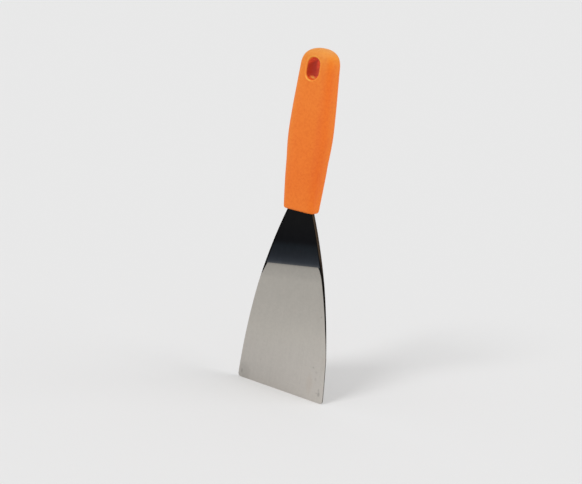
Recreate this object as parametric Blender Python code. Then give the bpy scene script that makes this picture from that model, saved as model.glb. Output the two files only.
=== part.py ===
"""A cleaning scraper: a hollow-ground steel blade whose keyed tang is held in a one-piece moulded handle.

Metres, +Z up. The middle of the scraping edge is the origin and the blade's width runs along X. The handle
rises along +Z from the blade's neck, leans back a little towards +Y, and has a hanging slot through its top.
"""

import math

import bmesh
import bpy
from mathutils import Matrix

# Blade blank: edge to the handle's mouth, with the side curve as a cubic Bezier on even heights
BLADE_WIDTH = 0.076
BLADE_LENGTH = 0.1290
NECK_WIDTH = 0.0210
BLANK_THICKNESS = 0.0032
CORNER_RADIUS = 0.0015
SIDE_CURVE_SHARES = (1.0, 0.931, 0.637, 0.0)
ROLL_WIDTH = 0.0023
ROLL_DEPTH = 0.0004

# Hollow grind on both faces: a shallow arc from a slightly slanted line down to an even thin blade
EDGE_THICKNESS = 0.0008
GRIND_HEIGHT = 0.09075
GRIND_RUN_OUT = 0.028
GRIND_SLANT = math.radians(8.2)

# Tang inside the handle, with the holes that key it in
TANG_LENGTH = 0.064
TANG_WIDTH = 0.014
SHOULDER_LENGTH = 0.010
TANG_END_RADIUS = 0.004
KEY_HOLE_RADIUS = 0.003
KEY_HOLE_SHARES = (0.42, 0.76)

# Handle: widths and thicknesses at stations from the mouth to the top, as shares of the largest
HANDLE_LENGTH = 0.1110
HANDLE_WIDTH = 0.0316
HANDLE_THICKNESS = 0.0204
STATION_SHARES = (0.0, 0.126, 0.285, 0.454, 0.623, 0.801, 1.0)
WIDTH_SHARES = (0.779, 0.837, 0.924, 1.0, 0.949, 0.887, 0.810)
THICKNESS_SHARES = (0.60, 0.76, 0.893, 0.955, 1.0, 0.919, 0.832)
SECTION_POWER = 3.0
LOW_SECTION_POWER = 4.6
SQUARED_SHARE = 0.30
HANDLE_LEAN = 0.0032
LEAN_POWER = 1.55
MOUTH_RISE = 0.0018
MOUTH_SIDE_INSET = 0.0008
MOUTH_FACE_INSET = 0.0028
MOUTH_SECTION_POWER = 6.0
CROWN_WIDTH_RISE = 0.0116
CROWN_THICKNESS_RISE = 0.0065
CROWN_POWER = 2.2

# Hanging slot through the handle's top
SLOT_WIDTH = 0.0111
SLOT_HEIGHT = 0.0157
SLOT_TOP_WALL = 0.0060
SLOT_RIM_RADIUS = 0.0008
SLOT_RIM_LIFT_SHARE = 0.13

# Clearance between the moulded handle and the tang, and how far a cutter runs past what it cuts
FIT = 0.0003
OVERRUN = 0.004

# Edges that turn by more than this stay sharp
SHARP_ANGLE = math.radians(30)

# Facet counts
CORNER_STEPS = 4
SIDE_STEPS = 26
SHOULDER_STEPS = 8
TANG_END_STEPS = 6
HOLLOW_STEPS = 16
HANDLE_SIDES = 60
HANDLE_STEPS = 30
MOUTH_STEPS = 6
CROWN_STEPS = 12
SLOT_END_STEPS = 12
RIM_STEPS = 5
HOLE_SIDES = 24

# Measures that follow from the sizes above
TOP = BLADE_LENGTH + HANDLE_LENGTH
HALF_BLANK = BLANK_THICKNESS / 2
SLOT_RADIUS = SLOT_WIDTH / 2
SLOT_UPPER_CENTRE = TOP - SLOT_TOP_WALL - SLOT_RADIUS
SLOT_LOWER_CENTRE = SLOT_UPPER_CENTRE - (SLOT_HEIGHT - SLOT_WIDTH)

# Colours are linear RGB
STEEL = {"colour": (0.40, 0.385, 0.36, 1.0), "roughness": 0.38, "metallic": 1.0}
ORANGE_PLASTIC = {"colour": (0.84, 0.215, 0.036, 1.0), "roughness": 0.55, "metallic": 0.0}


def clear_scene():
    """Remove every object that is already in the scene."""
    for old in list(bpy.data.objects):
        bpy.data.objects.remove(old, do_unlink=True)


def make_material(name, look):
    """Return a Principled material with the given colour, roughness and metallic value."""
    material = bpy.data.materials.new(name)
    material.use_nodes = True
    shader = material.node_tree.nodes["Principled BSDF"]
    shader.inputs["Base Color"].default_value = look["colour"]
    shader.inputs["Roughness"].default_value = look["roughness"]
    shader.inputs["Metallic"].default_value = look["metallic"]
    return material


def add_object(name, bm):
    """Turn a bmesh into an object in the scene, with its normals pointing out."""
    bmesh.ops.recalc_face_normals(bm, faces=bm.faces[:])
    mesh = bpy.data.meshes.new(name)
    bm.to_mesh(mesh)
    bm.free()
    body = bpy.data.objects.new(name, mesh)
    bpy.context.scene.collection.objects.link(body)
    return body


def loft(name, rings):
    """Skin a row of rings with equal point counts and close both ends."""
    bm = bmesh.new()
    loops = [[bm.verts.new(point) for point in ring] for ring in rings]
    for lower, upper in zip(loops, loops[1:]):
        for near in range(len(lower)):
            far = (near + 1) % len(lower)
            bm.faces.new((lower[near], lower[far], upper[far], upper[near]))
    bm.faces.new(loops[0])
    bm.faces.new(loops[-1])
    return add_object(name, bm)


def as_cutter(body):
    """Mark an object as a cutter, which the finished part leaves out."""
    body.hide_render = True
    body.display_type = "WIRE"
    return body


def cut(body, cutter):
    """Take a cutter's shape out of a body."""
    boolean = body.modifiers.new(cutter.name, "BOOLEAN")
    boolean.operation = "DIFFERENCE"
    boolean.solver = "EXACT"
    boolean.object = cutter


def finish(body, material):
    """Give a body its material and smooth shading, with its real edges kept sharp."""
    body.data.materials.append(material)
    body.data.shade_smooth()
    body.data.set_sharp_from_angle(angle=SHARP_ANGLE)


def steps(count):
    """Shares from 0 to 1 in even steps."""
    return [index / count for index in range(count + 1)]


def quarter_steps(count):
    """Angles from 0 to a right angle in even steps."""
    return [share * math.pi / 2 for share in steps(count)]


def mix(start, end, share):
    """The value a share of the way from start to end."""
    return start + (end - start) * share


def bezier(points, share):
    """A Bezier curve through any number of control values."""
    while len(points) > 1:
        points = [mix(near, far, share) for near, far in zip(points, points[1:])]
    return points[0]


def smooth_table(stations, values, at):
    """Read a table with cubic pieces whose slopes follow the neighbouring values."""

    def slope(index):
        low = max(index - 1, 0)
        high = min(index + 1, len(stations) - 1)
        return (values[high] - values[low]) / (stations[high] - stations[low])

    piece = max(k for k in range(len(stations) - 1) if stations[k] <= max(at, stations[0]))
    span = stations[piece + 1] - stations[piece]
    t = (at - stations[piece]) / span
    start, end = values[piece], values[piece + 1]
    out, back = slope(piece) * span / 3, slope(piece + 1) * span / 3
    return bezier((start, start + out, end - back, end), t)


# Blade


def side_half_width(height):
    """Half the blank's width at a height between the edge and the handle's mouth."""
    share = bezier(SIDE_CURVE_SHARES, height / BLADE_LENGTH)
    return mix(NECK_WIDTH, BLADE_WIDTH, share) / 2


def corner_rows():
    """Heights and half-widths up a rounded lower corner."""
    rows = []
    for angle in quarter_steps(CORNER_STEPS):
        height = CORNER_RADIUS * (1 - math.cos(angle))
        inset = CORNER_RADIUS * (1 - math.sin(angle))
        rows.append((height, side_half_width(CORNER_RADIUS) - inset))
    return rows


def side_rows():
    """Heights and half-widths along the curved side, from above the corner to the handle's mouth."""
    heights = [mix(CORNER_RADIUS, BLADE_LENGTH, share) for share in steps(SIDE_STEPS)[1:]]
    return [(height, side_half_width(height)) for height in heights]


def shoulder_rows():
    """Heights and half-widths where the neck carries on its taper and narrows to the tang."""
    flare = (BLADE_WIDTH - NECK_WIDTH) / 2 * (SIDE_CURVE_SHARES[-2] - SIDE_CURVE_SHARES[-1])
    lead = NECK_WIDTH / 2 - flare * SHOULDER_LENGTH / BLADE_LENGTH
    handles = (NECK_WIDTH / 2, lead, TANG_WIDTH / 2, TANG_WIDTH / 2)
    rows = []
    for share in steps(SHOULDER_STEPS)[1:]:
        rows.append((BLADE_LENGTH + SHOULDER_LENGTH * share, bezier(handles, share)))
    return rows


def tang_end_rows(length):
    """Heights and half-widths around the tang's rounded upper end."""
    radius = min(TANG_END_RADIUS, TANG_WIDTH / 2)
    rows = []
    for angle in quarter_steps(TANG_END_STEPS):
        height = BLADE_LENGTH + length - radius * (1 - math.sin(angle))
        rows.append((height, TANG_WIDTH / 2 - radius * (1 - math.cos(angle))))
    return rows


def blank_ring(height, half_width, grow):
    """One level of the blank: a flat bar whose long edges are rolled over, grown all round."""
    outer = half_width + grow
    inner = outer - min(ROLL_WIDTH, outer / 2)
    face = HALF_BLANK + grow
    side = face - ROLL_DEPTH
    right = ((inner, -face), (outer, -side), (outer, side), (inner, face))
    left = tuple((-x, y) for x, y in reversed(right))
    return [(x, y, height) for x, y in right + left]


def grind_profile():
    """Heights and half-thicknesses that the grind leaves, square to the slanted grind line."""
    line = GRIND_HEIGHT * math.cos(GRIND_SLANT)
    depth = (BLANK_THICKNESS - EDGE_THICKNESS) / 2
    profile = [(-BLADE_WIDTH / 2, EDGE_THICKNESS / 2)]
    for share in steps(HOLLOW_STEPS):
        profile.append((mix(GRIND_RUN_OUT, line, share), EDGE_THICKNESS / 2 + depth * share**2))
    slope = 2 * depth / (line - GRIND_RUN_OUT)
    profile.append((line + OVERRUN, HALF_BLANK + OVERRUN * slope))
    return profile


def grind_cutter(side):
    """The space that the grinding wheel takes from one face: side is -1 in front and 1 behind."""
    far = side * (BLANK_THICKNESS + OVERRUN)
    profile = [(side * half, height) for height, half in grind_profile()]
    outline = [(far, profile[0][1])] + profile + [(far, profile[-1][1])]
    rings = [[(x, y, height) for y, height in outline] for x in (-BLADE_WIDTH, BLADE_WIDTH)]
    name = "grind_cutter_front" if side < 0 else "grind_cutter_back"
    cutter = as_cutter(loft(name, rings))
    cutter.rotation_euler.y = -GRIND_SLANT
    return cutter


def key_cylinders(name, radius):
    """The pins that fill the tang's key holes, across the blade's thickness."""
    bm = bmesh.new()
    depth = BLANK_THICKNESS + OVERRUN
    across_blade = Matrix.Rotation(math.pi / 2, 4, "X")
    for share in KEY_HOLE_SHARES:
        place = Matrix.Translation((0, 0, BLADE_LENGTH + TANG_LENGTH * share)) @ across_blade
        bmesh.ops.create_cone(
            bm,
            cap_ends=True,
            segments=HOLE_SIDES,
            radius1=radius,
            radius2=radius,
            depth=depth,
            matrix=place,
        )
    return as_cutter(add_object(name, bm))


def make_blade(material):
    """The blade and its tang: one blank, ground hollow on both faces, with key holes in the tang."""
    rows = corner_rows() + side_rows() + shoulder_rows() + tang_end_rows(TANG_LENGTH)
    blade = loft("blade", [blank_ring(height, half_width, 0) for height, half_width in rows])
    for side in (-1, 1):
        cut(blade, grind_cutter(side))
    cut(blade, key_cylinders("key_hole_cutter", KEY_HOLE_RADIUS))
    finish(blade, material)
    return blade


# Handle


def crown(height, rise):
    """How much of the section is left at a height inside the domed top."""
    climb = max(height - (TOP - rise), 0) / rise
    return (1 - min(climb, 1) ** CROWN_POWER) ** (1 / CROWN_POWER)


def handle_half_sizes(height):
    """Half the handle's width and half its thickness at a height."""
    share = (height - BLADE_LENGTH) / HANDLE_LENGTH
    width = HANDLE_WIDTH * smooth_table(STATION_SHARES, WIDTH_SHARES, share)
    thickness = HANDLE_THICKNESS * smooth_table(STATION_SHARES, THICKNESS_SHARES, share)
    return width / 2 * crown(height, CROWN_WIDTH_RISE), thickness / 2 * crown(height, CROWN_THICKNESS_RISE)


def handle_lean(height):
    """How far the handle's centre line has moved back at a height."""
    share = max(height - BLADE_LENGTH, 0) / HANDLE_LENGTH
    return HANDLE_LEAN * share**LEAN_POWER


def section_power(height):
    """The section's superellipse power at a height: squarer towards the mouth."""
    share = (height - BLADE_LENGTH) / HANDLE_LENGTH / SQUARED_SHARE
    return mix(LOW_SECTION_POWER, SECTION_POWER, min(share, 1))


def handle_ring(height, drawn_in=0):
    """One level of the handle: a superellipse, drawn in and squared up by a share of the mouth's values."""
    power = mix(section_power(height), MOUTH_SECTION_POWER, drawn_in)
    half_width, half_thickness = handle_half_sizes(height)
    half_width -= MOUTH_SIDE_INSET * drawn_in
    half_thickness -= MOUTH_FACE_INSET * drawn_in
    lean = handle_lean(height)
    ring = []
    for index in range(HANDLE_SIDES):
        angle = 2 * math.pi * index / HANDLE_SIDES
        across, through = math.cos(angle), math.sin(angle)
        x = half_width * math.copysign(abs(across) ** (2 / power), across)
        y = half_thickness * math.copysign(abs(through) ** (2 / power), through)
        ring.append((x, lean + y, height))
    return ring


def handle_face(x, height, side):
    """Where the handle's front (side -1) or back (side 1) lies at a width and a height."""
    half_width, half_thickness = handle_half_sizes(height)
    power = section_power(height)
    left = (1 - (abs(x) / half_width) ** power) ** (1 / power)
    return handle_lean(height) + side * half_thickness * left


def handle_rings():
    """Every level of the handle, from the rounded mouth to the domed top."""
    rings = []
    for angle in quarter_steps(MOUTH_STEPS):
        height = BLADE_LENGTH + MOUTH_RISE * (1 - math.cos(angle))
        rings.append(handle_ring(height, 1 - math.sin(angle)))
    crown_start = TOP - CROWN_WIDTH_RISE
    for share in steps(HANDLE_STEPS)[1:]:
        rings.append(handle_ring(mix(BLADE_LENGTH + MOUTH_RISE, crown_start, share)))
    for angle in quarter_steps(CROWN_STEPS)[1:-1]:
        rings.append(handle_ring(crown_start + CROWN_WIDTH_RISE * math.sin(angle)))
    return rings


def handle_body():
    """The handle's outer skin, closed by a fan of faces at the top of the dome."""
    body = loft("handle", handle_rings())
    bm = bmesh.new()
    bm.from_mesh(body.data)
    lid = max(bm.faces, key=lambda face: face.calc_center_median().z)
    tip = bmesh.ops.poke(bm, faces=[lid])["verts"][0]
    tip.co = (0, handle_lean(TOP), TOP)
    bm.to_mesh(body.data)
    bm.free()
    return body


def slot_outline(grow):
    """Points around the hanging slot: a straight-sided opening with round ends, grown all round."""
    points = []
    for centre, start in ((SLOT_UPPER_CENTRE, 0), (SLOT_LOWER_CENTRE, math.pi)):
        for share in steps(SLOT_END_STEPS):
            angle = start + math.pi * share
            radius = SLOT_RADIUS + grow
            points.append((radius * math.cos(angle), centre + radius * math.sin(angle)))
    return points


def slot_rim_ring(side, angle):
    """One level of the slot's rounded rim, which follows the handle's face."""
    depth = SLOT_RIM_RADIUS * (1 - math.cos(angle) - SLOT_RIM_LIFT_SHARE)
    outline = slot_outline(SLOT_RIM_RADIUS * (1 - math.sin(angle)))
    return [(x, handle_face(x, z, side) - side * depth, z) for x, z in outline]


def slot_cutter():
    """The hanging slot, front to back, with a rounded rim at both faces."""
    far = HANDLE_THICKNESS / 2 + HANDLE_LEAN + OVERRUN
    wide = slot_outline(SLOT_RIM_RADIUS)
    rims = quarter_steps(RIM_STEPS)
    rings = [[(x, -far, z) for x, z in wide]]
    rings += [slot_rim_ring(-1, angle) for angle in rims]
    rings += [slot_rim_ring(1, angle) for angle in reversed(rims)]
    rings += [[(x, far, z) for x, z in wide]]
    return as_cutter(loft("slot_cutter", rings))


def tang_cavity_cutter():
    """The space for the tang: its own shape with a clearance, less the pegs through its key holes."""
    mouth = (BLADE_LENGTH - OVERRUN, side_half_width(BLADE_LENGTH - OVERRUN))
    neck = (BLADE_LENGTH, side_half_width(BLADE_LENGTH))
    rows = [mouth, neck] + shoulder_rows() + tang_end_rows(TANG_LENGTH + FIT)
    cavity = as_cutter(loft("tang_cavity_cutter", [blank_ring(z, half, FIT) for z, half in rows]))
    cut(cavity, key_cylinders("peg_cutter", KEY_HOLE_RADIUS - FIT))
    return cavity


def make_handle(material):
    """The moulded handle, with its tang cavity and hanging slot."""
    handle = handle_body()
    cut(handle, tang_cavity_cutter())
    cut(handle, slot_cutter())
    finish(handle, material)
    return handle


def build_scraper():
    """Build the whole scraper in an empty scene."""
    clear_scene()
    make_blade(make_material("brushed_steel", STEEL))
    make_handle(make_material("orange_plastic", ORANGE_PLASTIC))


build_scraper()
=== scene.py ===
"""The dressed cleaning scraper: a hollow-ground steel blade held in a one-piece orange moulded handle.

Metres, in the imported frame: +X runs across the blade, +Y from its front face to its back, and +Z up from the
scraping edge, which stands on the floor. Both pieces are modelled with Blender's own tools at full detail,
take procedural finishes and stand for their CAD nodes.
"""

import logging
import math
from collections.abc import Callable, Mapping, Sequence
from dataclasses import dataclass
from enum import Enum
from typing import Union

import bmesh
import bpy
from mathutils import Matrix, Vector


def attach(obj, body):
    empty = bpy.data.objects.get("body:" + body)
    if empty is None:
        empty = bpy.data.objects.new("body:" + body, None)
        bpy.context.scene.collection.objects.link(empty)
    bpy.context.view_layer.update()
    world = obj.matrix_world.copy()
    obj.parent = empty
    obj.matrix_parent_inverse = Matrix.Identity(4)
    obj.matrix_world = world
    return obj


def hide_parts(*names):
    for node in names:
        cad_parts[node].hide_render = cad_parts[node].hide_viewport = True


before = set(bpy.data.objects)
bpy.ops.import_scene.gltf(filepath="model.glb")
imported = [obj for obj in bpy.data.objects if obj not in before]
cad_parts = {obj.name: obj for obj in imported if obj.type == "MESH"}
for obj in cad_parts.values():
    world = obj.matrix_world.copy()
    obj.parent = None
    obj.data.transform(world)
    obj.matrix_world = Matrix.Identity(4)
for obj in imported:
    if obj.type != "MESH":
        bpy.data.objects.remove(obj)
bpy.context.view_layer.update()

log = logging.getLogger("scraper")

# How near two heights count as one level, and two points as one point, in metres
NEAR = 1e-5
DOUBLE = 1e-6

# The middle of a noise's range, and the setting of a fade with soft ends
NOISE_MIDDLE = 0.5
SMOOTH = {"interpolation_type": "SMOOTHSTEP"}

# A place or a scale, two numbers that belong together, a fade's start and end, a linear colour, the places
# and colours of a ramp, and a number or a signal
Place = tuple[float, float, float]
Pair = tuple[float, float]
Span = Pair
Colour = tuple[float, float, float, float]
Stops = tuple[tuple[float, Colour], ...]
Value = Union[float, "Signal"]


class Side(Enum):
    """The blade's two faces, by the sign of Y that they look along."""

    FRONT = -1
    BACK = 1


class BladeFinish(Enum):
    """The blade's finishes, by the order of its material slots."""

    NECK = 0
    GROUND = 1
    SIDE = 2


class RecordSlot(Enum):
    """The record's material slots."""

    BLADE_STEEL = "blade_steel"
    HANDLE_PLASTIC = "handle_plastic"


class Operation(Enum):
    """The sums that shader values can take part in."""

    ADD = "ADD"
    SUBTRACT = "SUBTRACT"
    MULTIPLY = "MULTIPLY"
    DIVIDE = "DIVIDE"
    POWER = "POWER"
    MINIMUM = "MINIMUM"
    MAXIMUM = "MAXIMUM"
    ABSOLUTE = "ABSOLUTE"


# Numbers


def steps(count: int) -> list[float]:
    """Shares from 0 to 1 in even steps."""
    return [index / count for index in range(count + 1)]


def quarter_turn(count: int) -> list[float]:
    """Angles from 0 to a right angle in even steps."""
    return [share * math.pi / 2 for share in steps(count)]


def mix(start: Value, end: Value, share: Value) -> Value:
    """The value a share of the way from start to end."""
    return start + (end - start) * share


def bezier(points: Sequence[Value], share: Value) -> Value:
    """A Bezier curve through any number of control values.

    Args:
        points: The control values.
        share: How far along the curve, from 0 to 1.

    Returns:
        The curve's value there.
    """
    while len(points) > 1:
        points = [mix(near, far, share) for near, far in zip(points, points[1:])]
    return points[0]


def smooth_table(stations: Sequence[float], values: Sequence[float], at: float) -> float:
    """Read a table with cubic pieces whose slopes follow the neighbouring values.

    Args:
        stations: Where the values stand, rising.
        values: The value at each station.
        at: Where to read.

    Returns:
        The table's value there.
    """

    def slope(index: int) -> float:
        """The slope at one station."""
        low, high = max(index - 1, 0), min(index + 1, len(stations) - 1)
        return (values[high] - values[low]) / (stations[high] - stations[low])

    piece = max(k for k in range(len(stations) - 1) if stations[k] <= max(at, stations[0]))
    span = stations[piece + 1] - stations[piece]
    start, end = values[piece], values[piece + 1]
    out, back = slope(piece) * span / 3, slope(piece + 1) * span / 3
    return bezier((start, start + out, end - back, end), (at - stations[piece]) / span)


# Modelling


class Workpiece:
    """One mesh on the bench: a primitive that is shaped with edit-mode tools, with its place in its mesh."""

    def __init__(self, name: str, add: Callable[..., set[str]], **settings: object) -> None:
        """Add a primitive at its size and place, and open it for editing.

        Args:
            name: What the piece is called.
            add: The operator that adds the primitive.
            settings: The operator's settings.
        """
        clear_selection()
        add(**settings)
        self.body: bpy.types.Object = bpy.context.active_object
        self.body.name = self.body.data.name = name
        bpy.ops.object.transform_apply(location=True, rotation=True, scale=True)
        bpy.ops.object.mode_set(mode="EDIT")
        bpy.ops.mesh.select_mode(type="VERT")

    def pick(self, test: Callable[[Vector], bool]) -> None:
        """Select the vertices whose place passes a test, and nothing else.

        Args:
            test: Says whether a place is wanted.
        """
        bpy.ops.mesh.select_all(action="DESELECT")
        mesh = bmesh.from_edit_mesh(self.body.data)
        for vertex in mesh.verts:
            if test(vertex.co):
                vertex.select_set(True)
        mesh.select_flush_mode()
        bmesh.update_edit_mesh(self.body.data, loop_triangles=False, destructive=False)

    def pick_level(self, height: float) -> None:
        """Select the ring of vertices at a height."""
        self.pick(lambda place: abs(place.z - height) < NEAR)

    def extrude(self, offset: Place) -> None:
        """Extrude what is selected and move the new part, which stays selected."""
        bpy.ops.mesh.extrude_region_move(TRANSFORM_OT_translate={"value": offset})

    def shift(self, offset: Place) -> None:
        """Move what is selected."""
        bpy.ops.transform.translate(value=offset)

    def resize(self, factors: Place, centre: Place) -> None:
        """Scale what is selected about a centre."""
        bpy.ops.transform.resize(value=factors, center_override=centre)

    def cap(self) -> None:
        """Close the selected ring with one face."""
        bpy.ops.mesh.edge_face_add()

    def close_tip(self, rise: float) -> None:
        """Carry the selected ring up to one point and close it there."""
        self.extrude((0, 0, rise))
        bpy.ops.mesh.merge(type="CENTER")

    def done(self) -> bpy.types.Object:
        """Turn every face outwards and leave edit mode.

        Returns:
            The finished object.
        """
        bpy.ops.mesh.select_all(action="SELECT")
        bpy.ops.mesh.normals_make_consistent(inside=False)
        bpy.ops.object.mode_set(mode="OBJECT")
        return self.body


def clear_selection() -> None:
    """Leave edit mode and deselect every object."""
    if bpy.context.mode != "OBJECT":
        bpy.ops.object.mode_set(mode="OBJECT")
    bpy.ops.object.select_all(action="DESELECT")


def make_active(body: bpy.types.Object) -> None:
    """Select one object alone and make it the active one.

    Args:
        body: The object.
    """
    clear_selection()
    body.select_set(True)
    bpy.context.view_layer.objects.active = body


def apply_modifier(body: bpy.types.Object, kind: str, **settings: object) -> None:
    """Add a modifier, set it up and apply it.

    Args:
        body: The object that it changes.
        kind: The modifier's type.
        settings: Its properties.
    """
    make_active(body)
    modifier = body.modifiers.new(kind.title(), kind)
    for name, value in settings.items():
        setattr(modifier, name, value)
    bpy.ops.object.modifier_apply(modifier=modifier.name)


def settle_order(body: bpy.types.Object) -> None:
    """List a mesh's points and faces by their place. A Boolean's own order changes from run to run.

    Args:
        body: The object whose mesh is listed again.
    """
    mesh = body.data
    places = [tuple(vertex.co) for vertex in mesh.vertices]
    order = sorted(range(len(places)), key=places.__getitem__)
    rank = {index: row for row, index in enumerate(order)}
    faces = []
    for face in mesh.polygons:
        corners = [rank[index] for index in face.vertices]
        first = corners.index(min(corners))
        faces.append((corners[first:] + corners[:first], face.material_index))
    faces.sort()
    mesh.clear_geometry()
    mesh.from_pydata([places[index] for index in order], [], [corners for corners, _ in faces])
    mesh.polygons.foreach_set("material_index", [finish for _, finish in faces])
    mesh.update()


def subtract(body: bpy.types.Object, cutter: bpy.types.Object) -> None:
    """Cut one object's shape out of another, hand on the cutter's material, and remove the cutter.

    Args:
        body: The object that is cut.
        cutter: The shape that is taken out of it.
    """
    apply_modifier(
        body, "BOOLEAN", operation="DIFFERENCE", solver="EXACT", material_mode="TRANSFER", object=cutter
    )
    settle_order(body)
    mesh = cutter.data
    bpy.data.objects.remove(cutter)
    bpy.data.meshes.remove(mesh)


def clean_mesh(body: bpy.types.Object) -> None:
    """Join doubled points and take out faces with no area.

    Args:
        body: The object that is cleaned.
    """
    make_active(body)
    bpy.ops.object.mode_set(mode="EDIT")
    bpy.ops.mesh.select_all(action="SELECT")
    bpy.ops.mesh.remove_doubles(threshold=DOUBLE)
    bpy.ops.mesh.dissolve_degenerate(threshold=DOUBLE)
    bpy.ops.object.mode_set(mode="OBJECT")


def sharpen_borders(body: bpy.types.Object) -> None:
    """Mark the edges where one finish meets another as sharp.

    Args:
        body: The object, with its finishes on its faces.
    """
    make_active(body)
    bpy.ops.object.mode_set(mode="EDIT")
    bpy.ops.mesh.select_mode(type="EDGE")
    bpy.ops.mesh.select_all(action="DESELECT")
    mesh = bmesh.from_edit_mesh(body.data)
    for edge in mesh.edges:
        if len({face.material_index for face in edge.link_faces}) > 1:
            edge.select_set(True)
    bmesh.update_edit_mesh(body.data, loop_triangles=False, destructive=False)
    bpy.ops.mesh.mark_sharp()
    bpy.ops.object.mode_set(mode="OBJECT")


# Shader values and nodes


class Signal:
    """A shader socket that carries a value. Sums on it add Math nodes to its tree."""

    def __init__(self, bench: "NodeBench", socket: bpy.types.NodeSocket) -> None:
        """Wrap a socket of a node tree."""
        self.bench = bench
        self.socket = socket

    def _sum(self, operation: Operation, *values: Value) -> "Signal":
        """Add one Math node that works out an operation on its values."""
        sockets = dict(enumerate(values))
        return self.bench.signal(self.bench.node("ShaderNodeMath", {"operation": operation.value}, sockets))

    def __add__(self, other: Value) -> "Signal":
        """This plus another."""
        return self._sum(Operation.ADD, self, other)

    def __radd__(self, other: Value) -> "Signal":
        """Another plus this."""
        return self._sum(Operation.ADD, other, self)

    def __sub__(self, other: Value) -> "Signal":
        """This less another."""
        return self._sum(Operation.SUBTRACT, self, other)

    def __rsub__(self, other: Value) -> "Signal":
        """Another less this."""
        return self._sum(Operation.SUBTRACT, other, self)

    def __mul__(self, other: Value) -> "Signal":
        """This times another."""
        return self._sum(Operation.MULTIPLY, self, other)

    def __rmul__(self, other: Value) -> "Signal":
        """Another times this."""
        return self._sum(Operation.MULTIPLY, other, self)

    def __truediv__(self, other: Value) -> "Signal":
        """This over another."""
        return self._sum(Operation.DIVIDE, self, other)

    def __pow__(self, other: Value) -> "Signal":
        """This to a power."""
        return self._sum(Operation.POWER, self, other)

    def __abs__(self) -> "Signal":
        """This without its sign."""
        return self._sum(Operation.ABSOLUTE, self)

    def at_least(self, other: Value) -> "Signal":
        """The larger of this and another."""
        return self._sum(Operation.MAXIMUM, self, other)

    def at_most(self, other: Value) -> "Signal":
        """The smaller of this and another."""
        return self._sum(Operation.MINIMUM, self, other)

    def fade(self, span: Span) -> "Signal":
        """A smooth rise from 0 at the span's start to 1 at its end."""
        sockets = {"Value": self, "From Min": span[0], "From Max": span[1]}
        return self.bench.signal(self.bench.node("ShaderNodeMapRange", SMOOTH, sockets))

    def swing(self, amount: float) -> "Signal":
        """A noise's swing about its middle, times an amount."""
        return (self - NOISE_MIDDLE) * amount


@dataclass(frozen=True)
class Grain:
    """A noise: its features for each metre along X, Y and Z, how many finer layers, and their strength."""

    density: Place
    layers: float = 3.0
    layer_strength: float = 0.6

    @classmethod
    def even(cls, density: float, layers: float = 3.0, layer_strength: float = 0.6) -> "Grain":
        """A noise that is as dense along every axis."""
        return cls((density, density, density), layers, layer_strength)


@dataclass(frozen=True)
class Spot:
    """A soft oval spot on a face, for marks and painted light: its middle and half-sizes, across and up, and
    its strength.
    """

    across: float
    up: float
    half_width: float
    half_height: float
    strength: float = 1.0

    def on(self, x: Signal, z: Signal) -> Signal:
        """Its strength in its middle, falling to 0 at its rim."""
        aside, above = (x - self.across) / self.half_width, (z - self.up) / self.half_height
        return (aside * aside + above * above).fade((1.0, 0.0)) * self.strength


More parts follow.
